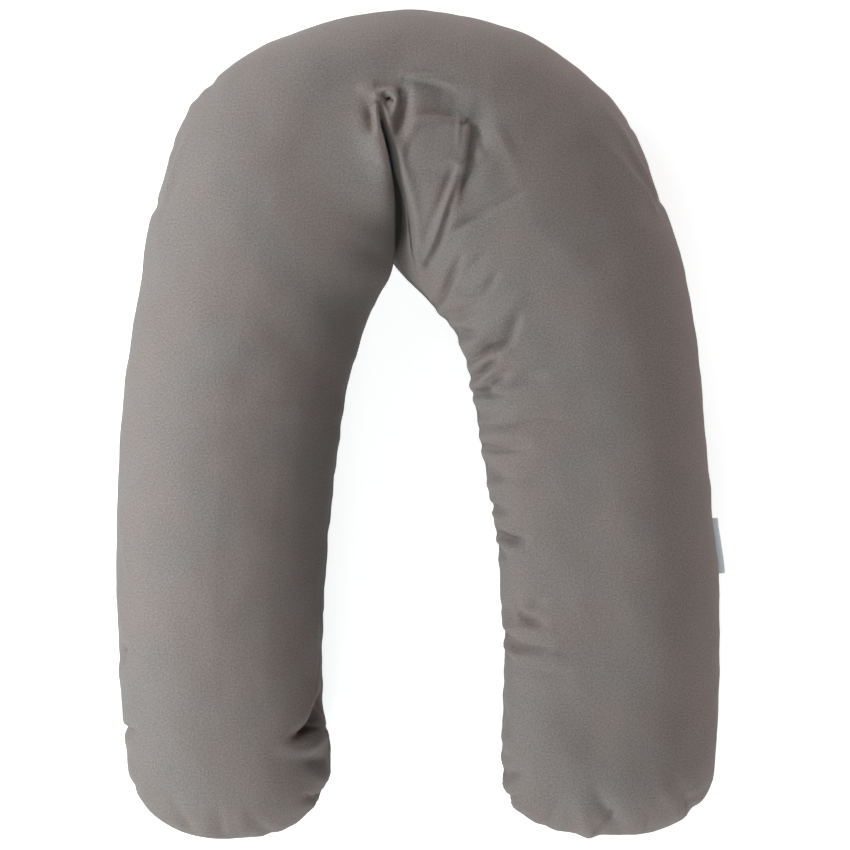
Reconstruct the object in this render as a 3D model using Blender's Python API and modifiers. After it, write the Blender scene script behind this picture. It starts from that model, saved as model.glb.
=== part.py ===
"""Horseshoe body pillow, lying on its back.

One stuffed cushion, bent so far that its inner edge has folded shut into a deep crease at the head of the
arch, and the blank woven label that is caught in its outer seam. Millimetres in the tables, metres in
the scene: +Z up, the two legs point to -Y, and the floor is z = 0.
"""
from collections import namedtuple

import bmesh
import bpy
import numpy as np

MM = 0.001
UP = np.array((0.0, 0.0, 1.0))

# ---- driving dimensions, in millimetres --------------------------------------------------------------------
CENTRE = np.array((4.3, -1.5, 0.0))  # of the part's box, in the axes of the tables
SEAM_SHARE = 0.46  # height of the seam, as a share of the crown's height
OUTER_SQUARENESS = 2.25  # exponent of the section above the seam, 2 is an ellipse
UNDERSIDE_SQUARENESS = 2.5
UNDERSIDE_PRESS = 1.07  # how far the round underside would reach through the floor that flattens it
END_ROUNDNESS = 2.3  # of the leg ends, seen from the side
SEAM_DEPTH = 3.2  # how far the stitching draws the outer seam in
SEAM_REACH = 8.0  # half the width of the hollow beside it
DIP_BEND = 1.15  # 1 is a straight slope
FOLD_FADE = 26.0  # folds of the upper panel fade out this far below the seam
CREASE_WALL = 30.0  # inside the crease they fade out this much higher
CREASE_FOOT = 38.0  # its walls lean this far to the left below the seam, so that no light falls through
CREASE_GAP = 2.5  # each of its walls stands back this far, so that they stay apart
LEDGE = ((100, 0), (118, 0.5), (124, 0.6), (136, 1))  # heights and shares of the step in its right wall

# Faces round a section: from the outer seam to the crown, the inner seam, the underside and the outer seam.
RING_QUARTERS = (11, 15, 9, 9)
RING_CROWDING = 1.25  # 1 spaces a quarter evenly, more crowds its faces towards the seam
END_STEPS = 8  # sections in each leg end

LABEL_LENGTH = 51.0  # along the seam
LABEL_THICKNESS = 1.0  # two layers of woven ribbon
LABEL_MIDDLE_Y = -112.0
LABEL_SEAT = 0.5  # from the seam's stitching to the label's root

# Sections from the left leg's end, over the arch, to the right leg's end. outer and inner are the ends of
# the section on the two seams, and crown is its height. dip is how far the upper panel falls from there to
# its inner edge, negative where it rises to the crease. square is the exponent of its upper inner corner,
# tuck is how far the inner seam is drawn in, and lean is 1 where the inner seam lies in the closed crease.
# ledge is how far the crease's rim stands back above its wall. The dip starts at dip_start, from -1 on the
# inner seam to 1 on the outer. steps is the number of faces to the next row.
Section = namedtuple(
    "Section", "place outer_x outer_y inner_x inner_y crown dip square tuck lean ledge dip_start steps"
)
SECTIONS = (
    Section("left leg end", -267.5, -302, -81, -302, 143, 8, 2.25, 3.2, 0, 0, 0, 4),
    Section("left leg, calf", -273, -245, -87, -245, 146, 11, 2.25, 3.2, 0, 0, 0, 4),
    Section("left leg, calf", -276, -180, -87, -176, 150, 14, 2.25, 3.2, 0, 0, 0, 3),
    Section("left leg, knee", -276, -111, -83, -107, 152, 15, 2.25, 3.2, 0, 0, 0, 3),
    Section("left leg, knee", -275, -42, -75, -38, 153, 15, 2.25, 3.2, 0, 0, 0, 4),
    Section("left leg, thigh", -270, 22, -67, 22, 155, 15, 2.25, 3.2, 0, 0, 0, 4),
    Section("left leg, thigh", -263, 82, -53, 73, 157, 15, 2.25, 3.0, 0, 0, 0, 4),
    Section("left shoulder", -254, 134, -38, 111, 159, 16, 2.3, 2.5, 0.1, 0, 0, 3),
    Section("left shoulder", -246, 180, -25.5, 135, 161, 16, 2.6, 1.0, 0.5, 0, 0, 3),
    Section("left, crease mouth", -232.5, 223, -21.5, 156, 163, 16, 3, 0, 1, 0, 0, 3),
    Section("left, crease", -217, 272, -20.5, 181, 163, 10, 4.5, 0, 1, 0, 0, 3),
    Section("left, crease", -190, 310, -21, 208, 162, 1, 8, 0, 1, 0, 0, 3),
    Section("left, crease", -144, 344, -24.5, 234, 160, -8, 8, 0, 1, 0, 0, 4),
    Section("left, crease head", -86, 366.5, -30, 256, 157, -10, 8, 0, 1, 0, 0, 5),
    Section("top of the arch", -16, 378, -34, 270, 155, -7, 8, 0, 1, 0, 0, 5),
    Section("right, crease head", 41, 372, -28.5, 256, 157, -5, 8, 0, 1, 0, 0, 4),
    Section("right, crease", 94, 357, -22.5, 234, 160, -2, 8, 0, 1, 0, 0, 4),
    Section("right, crease", 142, 329, -15, 208, 161, 3, 8, 0, 1, 0, 0, 3),
    Section("right, crease", 178, 296, -15, 181, 161, 10, 6, 0, 1, 8, 0, 3),
    Section("right, crease mouth", 203, 257, -17.5, 156, 160, 24, 5, 0, 1, 13.5, 0, 3),
    Section("right shoulder", 222, 210, -8, 134, 159, 25, 3.2, 1.0, 0.5, 10, 0, 4),
    Section("right shoulder", 238, 164, 14, 110, 158, 21, 2.8, 2.5, 0.1, 0, 0.2, 5),
    Section("right leg, thigh", 251, 105, 38, 75, 157, 21, 3.5, 3.0, 0, 0, 0.35, 5),
    Section("right leg, thigh", 259, 45, 49, 29, 155, 22, 4, 3.2, 0, 0, 0.4, 6),
    Section("right leg, knee", 264, -15, 60, -29, 153, 22, 4, 3.2, 0, 0, 0.4, 6),
    Section("right leg, knee", 270, -79, 69, -88, 152, 22, 4, 3.2, 0, 0, 0.4, 6),
    Section("right leg, calf", 276.5, -144, 75, -148, 151, 21, 4, 3.2, 0, 0, 0.4, 6),
    Section("right leg, calf", 277, -208, 79, -208, 149, 19, 4, 3.2, 0, 0, 0.4, 5),
    Section("right leg, calf", 276, -258, 77, -258, 145, 15, 3.8, 3.2, 0, 0, 0.4, 5),
    Section("right leg end", 274, -302, 78, -302, 143, 11, 3.5, 3.2, 0, 0, 0.4, 0),
)

# The leg ends: the tip of each on the seam, and its exponent seen from above.
End = namedtuple("End", "tip_x tip_y square")
LEFT_END = End(-171, -380.5, 2.3)
RIGHT_END = End(171, -377, 2.55)

# Folds of the upper panel. Each follows a curve through the points of path, and rise is how far it stands
# out at each of them, negative for a hollow. left and right are how far it spreads to either side of the
# curve as one walks it, and edge is 2 for a soft fold and 1 for a sharp one.
FOLD_PIECES = 8  # straight pieces between two points of a path
Fold = namedtuple("Fold", "place path rise left right edge")
FOLDS = (
    Fold("plate left of the crease's head", ((-50, 297), (-42, 295), (-33, 291)), (1, 2.5, 2), 8, 8, 2),
    Fold("hollow left of the crease's head", ((-45, 292), (-42, 280), (-41, 265)), (-3, -5, -3), 7, 8, 2),
    Fold("hollow right of the crease's head", ((-13, 300), (-13, 284), (-16, 260)), (-3, -6, -4), 6, 8, 2),
    Fold("swelling left of the crease", ((-38, 292), (-34, 252), (-24, 212)), (1, 4, 1), 7, 14, 2),
    Fold("ridge under the arch", ((-14, 309), (6, 306), (36, 297)), (1, 2.5, 1), 9, 8, 2),
    Fold("sunken panel under that ridge", ((-4, 286), (20, 284), (46, 277)), (-1, -2.5, -2), 14, 13, 2.5),
    Fold("rim of the right lobe", ((-26, 270), (-14, 230), (-2, 170), (4, 137)), (1.5, 3.5, 4.5, 2), 7, 7, 2),
    Fold("drop right of the patch", ((48, 270), (46, 240), (38, 206)), (-1, -6, -3), 11, 7, 1.8),
    Fold("peak right of that drop", ((66, 274), (75, 254), (91, 227)), (1, 2, 1), 8, 15, 1.8),
    Fold("tuck down to the rim", ((30, 205), (22, 176), (8, 144)), (-1.5, -4, -4), 7, 7, 1.8),
    Fold("fold over the right lobe", ((28, 170), (52, 185), (96, 208)), (-1.5, -3, -0.7), 8, 8, 2),
    Fold("gather 1", ((17, 110), (28, 130), (38, 148)), (-5, -6, -2), 8, 8, 2),
    Fold("gather 2", ((38, 119), (56, 119), (71, 133)), (-1, -3, -1), 8, 8, 2),
    Fold("gathers 3 and 4", ((28, 92), (42, 90), (56, 96)), (-4, -5, -1), 11, 11, 2),
    Fold("gather 5", ((48, 60), (70, 70), (90, 97)), (-5, -7, -1), 10, 9, 2),
    Fold("gather 6", ((49, 43), (60, 50), (71, 59)), (-4, -5, -1), 8, 8, 2),
    Fold("gathers 7 and 8", ((52, 28), (74, 32), (106, 41)), (-4, -4, -1), 9, 9, 2),
    Fold("gather 10", ((58, -4), (90, 0), (124, 5)), (-3, -2.5, -1), 9, 8, 2),
    Fold("gather 11", ((60, -21), (76, -23), (96, -22)), (-4, -4, -1), 8, 8, 2),
    Fold("gather 12", ((67, -42), (74, -48), (86, -50)), (-3, -4, -1), 9, 9, 2),
    Fold("gather 13", ((70, -76), (78, -77), (90, -78)), (-3, -3, -1), 9, 9, 2),
    Fold("gather 14", ((72, -100), (84, -104), (100, -105)), (-4, -6, -1), 9, 9, 2),
    Fold("gather 15", ((87, -154), (92, -170), (112, -178)), (-1, -5, -2), 9, 9, 2),
    Fold("gather 16", ((75, -192), (94, -202), (120, -201)), (-4, -5, -1), 9, 8, 2),
    Fold("tension in the left shoulder", ((-205, 262), (-221, 222), (-230, 200)), (0.5, 2, 0.7), 8, 8, 2),
    Fold("tension in the right shoulder", ((165, 285), (203, 230), (218, 202)), (0.5, 2.3, 1), 8, 8, 2),
    Fold("tuck in the left inner seam", ((-86, -250), (-97, -273), (-114, -281)), (-3.5, -10, -2.5), 10, 9, 2),
    Fold("bulge below that tuck", ((-119, -292), (-106, -294), (-88, -289)), (1.5, 4, 3), 8, 10, 2),
    Fold("tuck in the left outer seam", ((-252, -277), (-260, -278), (-269, -278)), (-1, -5, -4), 7, 7, 2),
    Fold("hollow above that tuck", ((-264, -204), (-269, -209), (-272, -217)), (-2, -4, -2), 8, 8, 2),
    Fold("pucker in the left end", ((-106, -336), (-97, -339), (-86, -343)), (-1, -3, -4), 8, 8, 2),
    Fold("pucker in the left end", ((-226, -328), (-216, -344), (-207, -362)), (0, -1, -2), 9, 9, 2),
    Fold("pucker in the right end", ((96, -312), (86, -316), (79, -320)), (-2, -5, -4), 8, 8, 2),
    Fold("lobe beside the valley", ((143, -336), (149, -352), (156, -372)), (1, 2, 3), 10, 10, 2),
    Fold("valley in the right end", ((160, -330), (170, -348), (180, -366)), (-1, -4, -3), 10, 9, 2),
    Fold("valley in the right end", ((234, -318), (243, -336), (252, -354)), (-1, -3, -2), 9, 9, 2),
)

# ---- the cushion -------------------------------------------------------------------------------------------


def along(rows, at):
    """Rows of numbers read at fractional positions, on a Catmull-Rom curve through all of them."""
    rows = np.asarray(rows, float)
    low = np.clip(np.floor(at).astype(int), 0, len(rows) - 2)
    t = (at - low)[:, None]
    before, here = rows[np.maximum(low - 1, 0)], rows[low]
    after, beyond = rows[low + 1], rows[np.minimum(low + 2, len(rows) - 1)]
    bend = 2 * before - 5 * here + 4 * after - beyond
    twist = 3 * here - before - 3 * after + beyond
    return here + 0.5 * ((after - before) * t + bend * t**2 + twist * t**3)


def stations():
    """Position in the table, and the share of the way to a leg's tip, for each section of the mesh."""
    at = []
    for row, section in enumerate(SECTIONS):
        at += [row + step / section.steps for step in range(section.steps)]
    at.append(len(SECTIONS) - 1)
    shares = np.sin(np.linspace(0, np.pi / 2, END_STEPS + 1))[1:]
    still = np.zeros(END_STEPS)
    at = np.concatenate([still, at, still + len(SECTIONS) - 1])
    return at, np.concatenate([shares[::-1], np.zeros(len(at) - 2 * END_STEPS), shares])


def ring_angles():
    """Angles round a section: 0 on the outer seam, a quarter turn at the crown, a half turn inside."""
    angles = []
    for quarter, faces in enumerate(RING_QUARTERS):
        share = np.arange(faces) / faces
        if quarter % 2:
            share = 1 - (1 - share) ** RING_CROWDING
        else:
            share = share**RING_CROWDING
        angles.append((quarter + share) * np.pi / 2)
    return np.concatenate(angles)


def smooth(value):
    value = np.clip(value, 0, 1)
    return value * value * (3 - 2 * value)


def body_grid(at, share, angles):
    """The stuffed form without its folds, the height of its seam, and the section of each station."""
    rows = along([section[1:12] for section in SECTIONS], at)
    outer, inner = rows[:, 0:2], rows[:, 2:4]
    crown, dip, square, lean = rows[:, 4:5], rows[:, 5:6], rows[:, 6:7], rows[:, 8:9]
    ends = np.where((at < 1)[:, None], LEFT_END, RIGHT_END)
    share = share[:, None]
    middle = (outer + inner) / 2
    middle = middle + (ends[:, :2] - middle) * share
    half = (outer - inner) / 2 * (1 - share ** ends[:, 2:]) ** (1 / ends[:, 2:])
    swell = (1 - share**END_ROUNDNESS) ** (1 / END_ROUNDNESS)
    seam = crown * SEAM_SHARE
    above = np.sin(angles) >= 0
    inward = np.cos(angles) < 0
    corner = np.where(inward, square, OUTER_SQUARENESS)
    corner = np.where(above, corner, UNDERSIDE_SQUARENESS)
    radius = (np.abs(np.cos(angles)) ** corner + np.abs(np.sin(angles)) ** corner) ** (-1 / corner)
    across = np.cos(angles) * radius
    lift = np.sin(angles) * radius
    reach = np.where(above, crown - seam, seam * UNDERSIDE_PRESS)
    grid = np.empty((len(at), len(angles), 3))
    grid[..., :2] = middle[:, None] + half[:, None] * across[..., None]
    grid[..., 2] = seam + reach * swell * lift
    grid[..., 0] += np.where(above, 0, CREASE_FOOT) * lean * smooth(-across) * lift
    back = half / np.linalg.norm(half, axis=1, keepdims=True).clip(1) * CREASE_GAP * lean
    grid[..., :2] += back[:, None] * smooth(-across)[..., None]
    edge = smooth(3 * (-across - 0.5))
    grid[..., 0] += rows[:, 9:10] * edge * np.interp(grid[..., 2], *zip(*LEDGE))
    start = rows[:, 10:11]
    slope = np.clip((start - across) / (start + 1), 0, 1) ** DIP_BEND
    grid[..., 2] -= np.where(above, dip * slope * lift * swell, 0)
    return grid, seam, rows


def normals_of(grid):
    """Outward unit normals of a grid of points whose second direction closes on itself."""
    onward = np.gradient(grid, axis=0)
    around = np.roll(grid, -1, axis=1) - np.roll(grid, 1, axis=1)
    normals = np.cross(around, onward)
    length = np.linalg.norm(normals, axis=2, keepdims=True)
    return normals / np.maximum(length, 1e-9)


def fold_height(fold, x, y):
    """How far a fold lifts the cloth at plan positions x, y."""
    knots = np.arange(len(fold.path))
    at = np.linspace(0, knots[-1], FOLD_PIECES * knots[-1] + 1)
    line = along(fold.path, at)
    best = np.full(x.shape, np.inf)
    side = np.zeros(x.shape)
    place = np.zeros(x.shape)
    for start, a, b in zip(at, line[:-1], line[1:]):
        step = b - a
        share = ((x - a[0]) * step[0] + (y - a[1]) * step[1]) / (step @ step)
        share = np.clip(share, 0, 1)
        dx, dy = x - a[0] - share * step[0], y - a[1] - share * step[1]
        distance = np.hypot(dx, dy)
        nearer = distance < best
        best = np.where(nearer, distance, best)
        side = np.where(nearer, step[0] * dy - step[1] * dx, side)
        place = np.where(nearer, start + share / FOLD_PIECES, place)
    width = np.where(side > 0, fold.left, fold.right)
    rise = np.interp(place, knots, fold.rise)
    return rise * np.exp(-((best / width) ** fold.edge))


def cushion_grid():
    at, share = stations()
    angles = ring_angles()
    grid, seam, rows = body_grid(at, share, angles)
    inward = smooth(-2 * np.cos(angles))
    lean = rows[:, 8:9] * inward
    level = seam + CREASE_WALL * lean
    fade = 1 - smooth((level - grid[..., 2]) / FOLD_FADE)
    rise = sum(fold_height(fold, grid[..., 0], grid[..., 1]) for fold in FOLDS) * fade
    depth = np.where(np.cos(angles) < 0, rows[:, 7:8], SEAM_DEPTH) * (1 - share[:, None] ** 4)
    rise = rise - depth * np.exp(-(((grid[..., 2] - seam) / SEAM_REACH) ** 2))
    lean = lean[..., None]
    grid = grid + (normals_of(grid) * (1 - lean) + UP * lean) * rise[..., None]
    grid[..., 2] = np.maximum(grid[..., 2], 0)
    return grid


def cloth(name, colour, roughness):
    material = bpy.data.materials.new(name)
    material.use_nodes = True
    shader = material.node_tree.nodes["Principled BSDF"]
    shader.inputs["Base Color"].default_value = (*colour, 1)
    shader.inputs["Roughness"].default_value = roughness
    shader.inputs["Metallic"].default_value = 0
    return material


def add_object(name, bm, material, collection):
    mesh = bpy.data.meshes.new(name)
    bm.to_mesh(mesh)
    bm.free()
    mesh.materials.append(material)
    mesh.shade_smooth()
    made = bpy.data.objects.new(name, mesh)
    collection.objects.link(made)
    return made


def make_cushion(grid, collection):
    """A loft through the sections, closed at each leg's tip by a fan of triangles."""
    bm = bmesh.new()
    rings = grid.shape[1]
    loops = [[bm.verts.new((point - CENTRE) * MM) for point in section] for section in grid[1:-1]]
    for a, b in zip(loops, loops[1:]):
        for k in range(rings):
            bm.faces.new((a[k], b[k], b[(k + 1) % rings], a[(k + 1) % rings]))
    for loop, tip, turn in ((loops[0], grid[0, 0], 1), (loops[-1], grid[-1, 0], -1)):
        point = bm.verts.new((tip - CENTRE) * MM)
        for k in range(rings):
            bm.faces.new((point, loop[k], loop[(k + 1) % rings])[::turn])
    bmesh.ops.recalc_face_normals(bm, faces=bm.faces)
    return add_object("pillow", bm, cloth("taupe_cotton", (0.22, 0.2, 0.19), 0.75), collection)


# How the label leaves the seam and droops: out from the stitching, and down.
LABEL_PROFILE = ((0.0, 0.0), (3.0, 0.0), (6.0, -1.2), (8.4, -3.6), (10.0, -7.0))


def make_label(grid, collection):
    """A strip caught in the right leg's outer seam, solid all through. It follows the seam's own points."""
    seam = grid[len(grid) // 2 : -END_STEPS, 0]
    seam = seam[::-1]
    ends = (LABEL_MIDDLE_Y - LABEL_LENGTH / 2, LABEL_MIDDLE_Y + LABEL_LENGTH / 2)
    inside = [y for y in seam[:, 1] if ends[0] < y < ends[1]]
    places = np.array([ends[0], *inside, ends[1]])
    root_x = np.interp(places, seam[:, 1], seam[:, 0]) + LABEL_SEAT
    root_z = np.interp(places, seam[:, 1], seam[:, 2])
    bm = bmesh.new()
    rows = [
        [bm.verts.new((np.array((x + out, y, z + down)) - CENTRE) * MM) for out, down in LABEL_PROFILE]
        for x, y, z in zip(root_x, places, root_z)
    ]
    for a, b in zip(rows, rows[1:]):
        for k in range(len(LABEL_PROFILE) - 1):
            bm.faces.new((a[k], b[k], b[k + 1], a[k + 1]))
    label = add_object("label", bm, cloth("label_ribbon", (0.62, 0.68, 0.72), 0.6), collection)
    thicken = label.modifiers.new("thickness", "SOLIDIFY")
    thicken.thickness = LABEL_THICKNESS * MM
    thicken.offset = 0
    return label


def main():
    for old in list(bpy.data.objects):
        bpy.data.objects.remove(old)
    collection = bpy.data.collections.new("body_pillow")
    bpy.context.scene.collection.children.link(collection)
    grid = cushion_grid()
    make_cushion(grid, collection)
    make_label(grid, collection)


main()
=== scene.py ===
from collections import namedtuple

import bmesh
import bpy
import numpy as np
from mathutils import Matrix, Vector


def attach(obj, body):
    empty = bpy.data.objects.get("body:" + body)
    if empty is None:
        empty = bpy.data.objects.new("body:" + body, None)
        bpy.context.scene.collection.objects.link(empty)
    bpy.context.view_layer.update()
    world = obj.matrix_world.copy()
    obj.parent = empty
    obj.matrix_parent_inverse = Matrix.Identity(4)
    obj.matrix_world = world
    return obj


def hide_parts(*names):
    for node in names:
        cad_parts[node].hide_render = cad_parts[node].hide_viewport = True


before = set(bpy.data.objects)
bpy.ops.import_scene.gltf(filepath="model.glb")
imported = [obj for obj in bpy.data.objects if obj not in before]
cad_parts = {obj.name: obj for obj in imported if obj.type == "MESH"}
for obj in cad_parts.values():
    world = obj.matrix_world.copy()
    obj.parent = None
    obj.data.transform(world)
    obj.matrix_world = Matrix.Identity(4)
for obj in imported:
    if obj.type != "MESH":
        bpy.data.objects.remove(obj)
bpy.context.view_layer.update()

MM = 0.001
UP = np.array((0.0, 0.0, 1.0))

# ---- driving dimensions of the cushion, as in the CAD ------------------------------------------------------
CENTRE = np.array((4.3, -1.5, 0.0))  # of the part's box, in the axes of the tables
SEAM_SHARE = 0.46  # height of the seam, as a share of the crown's height
OUTER_SQUARENESS = 2.25  # exponent of the section above the seam, 2 is an ellipse
UNDERSIDE_SQUARENESS = 2.5
UNDERSIDE_PRESS = 1.07  # how far the round underside would reach through the floor that flattens it
END_ROUNDNESS = 2.3  # of the leg ends, seen from the side
SEAM_DEPTH = 3.2  # how far the stitching draws the outer seam in
SEAM_REACH = 8.0  # half the width of the hollow beside it
DIP_BEND = 1.15  # exponent of the upper panel's fall to its inner edge, 1 is a straight slope
FOLD_FADE = 26.0  # folds of the upper panel fade out this far below the seam
CREASE_WALL = 30.0  # inside the crease they fade out this much higher
CREASE_FOOT = 38.0  # its walls lean this far to the left below the seam, so that no light falls through
LEDGE = ((100, 0), (118, 0.5), (124, 0.6), (136, 1))  # heights and shares of the step in its right wall
LEDGE_START = 0.5  # the step starts halfway from the middle of the section to its inner edge
LEDGE_SLOPE = 3.0  # and reaches its full share within a third of the half width

# Sections from the left leg's end, over the arch, to the right leg's end. outer and inner are the ends of
# the section on the two seams, and crown is its height. dip is how far the upper panel falls from there to
# its inner edge, negative where it rises to the crease. square is the exponent of its upper inner corner,
# tuck is how far the inner seam is drawn in, and lean is 1 where the inner seam lies in the closed crease.
# ledge is how far the crease's rim stands back above its wall. The dip starts at dip_start, from -1 on the
# inner seam to 1 on the outer. steps is the number of the CAD's faces to the next row.
Section = namedtuple(
    "Section", "place outer_x outer_y inner_x inner_y crown dip square tuck lean ledge dip_start steps"
)
SECTIONS = (
    Section("left leg end", -267.5, -302, -81, -302, 143, 8, 2.25, 3.2, 0, 0, 0, 4),
    Section("left leg, calf", -273, -245, -87, -245, 146, 11, 2.25, 3.2, 0, 0, 0, 4),
    Section("left leg, calf", -276, -180, -87, -176, 150, 14, 2.25, 3.2, 0, 0, 0, 3),
    Section("left leg, knee", -276, -111, -83, -107, 152, 15, 2.25, 3.2, 0, 0, 0, 3),
    Section("left leg, knee", -275, -42, -75, -38, 153, 15, 2.25, 3.2, 0, 0, 0, 4),
    Section("left leg, thigh", -270, 22, -67, 22, 155, 15, 2.25, 3.2, 0, 0, 0, 4),
    Section("left leg, thigh", -263, 82, -53, 73, 157, 15, 2.25, 3.0, 0, 0, 0, 4),
    Section("left shoulder", -254, 134, -38, 111, 159, 16, 2.3, 2.5, 0.1, 0, 0, 3),
    Section("left shoulder", -246, 180, -25.5, 135, 161, 16, 2.6, 1.0, 0.5, 0, 0, 3),
    Section("left, crease mouth", -232.5, 223, -21.5, 156, 163, 16, 3, 0, 1, 0, 0, 3),
    Section("left, crease", -217, 272, -20.5, 181, 163, 10, 4.5, 0, 1, 0, 0, 3),
    Section("left, crease", -190, 310, -21, 208, 162, 1, 10, 0, 1, 0, 0, 3),
    Section("left, crease", -144, 344, -24.5, 234, 160, -8, 12, 0, 1, 0, 0, 4),
    Section("left, crease head", -86, 366.5, -30, 256, 157, -10, 12, 0, 1, 0, 0, 5),
    Section("top of the arch", -16, 378, -33.5, 266, 155, -7, 8, 0, 1, 0, 0, 5),
    Section("right, crease head", 41, 372, -28.5, 256, 157, -5, 10, 0, 1, 0, 0, 4),
    Section("right, crease", 94, 357, -22.5, 234, 160, -2, 10, 0, 1, 0, 0, 4),
    Section("right, crease", 142, 329, -15, 208, 161, 3, 8, 0, 1, 0, 0, 3),
    Section("right, crease", 178, 296, -15, 181, 161, 10, 6, 0, 1, 8, 0, 3),
    Section("right, crease mouth", 203, 257, -17.5, 156, 160, 24, 5, 0, 1, 13.5, 0, 3),
    Section("right shoulder", 222, 210, -8, 134, 159, 25, 3.2, 1.0, 0.5, 10, 0, 4),
    Section("right shoulder", 238, 164, 14, 110, 158, 21, 2.8, 2.5, 0.1, 0, 0.2, 5),
    Section("right leg, thigh", 251, 105, 38, 75, 157, 21, 3.5, 3.0, 0, 0, 0.35, 5),
    Section("right leg, thigh", 259, 45, 49, 29, 155, 22, 4, 3.2, 0, 0, 0.4, 6),
    Section("right leg, knee", 264, -15, 60, -29, 153, 22, 4, 3.2, 0, 0, 0.4, 6),
    Section("right leg, knee", 270, -79, 69, -88, 152, 22, 4, 3.2, 0, 0, 0.4, 6),
    Section("right leg, calf", 276.5, -144, 75, -148, 151, 21, 4, 3.2, 0, 0, 0.4, 6),
    Section("right leg, calf", 277, -208, 79, -208, 149, 19, 4, 3.2, 0, 0, 0.4, 5),
    Section("right leg, calf", 276, -258, 77, -258, 145, 15, 3.8, 3.2, 0, 0, 0.4, 5),
    Section("right leg end", 274, -302, 78, -302, 143, 11, 3.5, 3.2, 0, 0, 0.4, 0),
)

# The leg ends: the tip of each on the seam, and its exponent seen from above.
End = namedtuple("End", "tip_x tip_y square")
LEFT_END = End(-171, -380.5, 2.3)
RIGHT_END = End(171, -377, 2.55)

# ---- how finely the cushion is modelled here ---------------------------------------------------------------
FINENESS = 4  # faces along the cushion for each of the table's steps
END_STEPS = 30  # faces along each leg end
# Faces round a section: from the outer seam to the crown, the inner seam, the underside and the outer seam.
RING_QUARTERS = (42, 88, 24, 20)
HALF_RING = sum(RING_QUARTERS[:2])
RING_CROWDING = 1.25  # 1 spaces a quarter evenly, more crowds its faces towards the seam

# ---- folds -------------------------------------------------------------------------------------------------
# Each fold of the upper panel follows a curve through the points of path. rise has its height at each of
# them, negative for a hollow. left and right are how far it spreads to either side as one walks the path.
# edge is 1 for a sharp fold, 2 for a soft one, and 4 or more for a flat top with steep sides.
FOLD_LIP = 0.28  # cloth that leaves a hollow stands up beside it, and the other way round, by this share
FOLD_LIP_REACH = 2.2  # and so many times as wide as the fold
FOLD_LIP_END = 3.0  # the lip has died out at so many times its own reach
FLAT_TOP = 3  # only folds with a softer edge than this have such a lip
FOLD_PIECES = 8  # straight pieces between two points of a path

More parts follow.
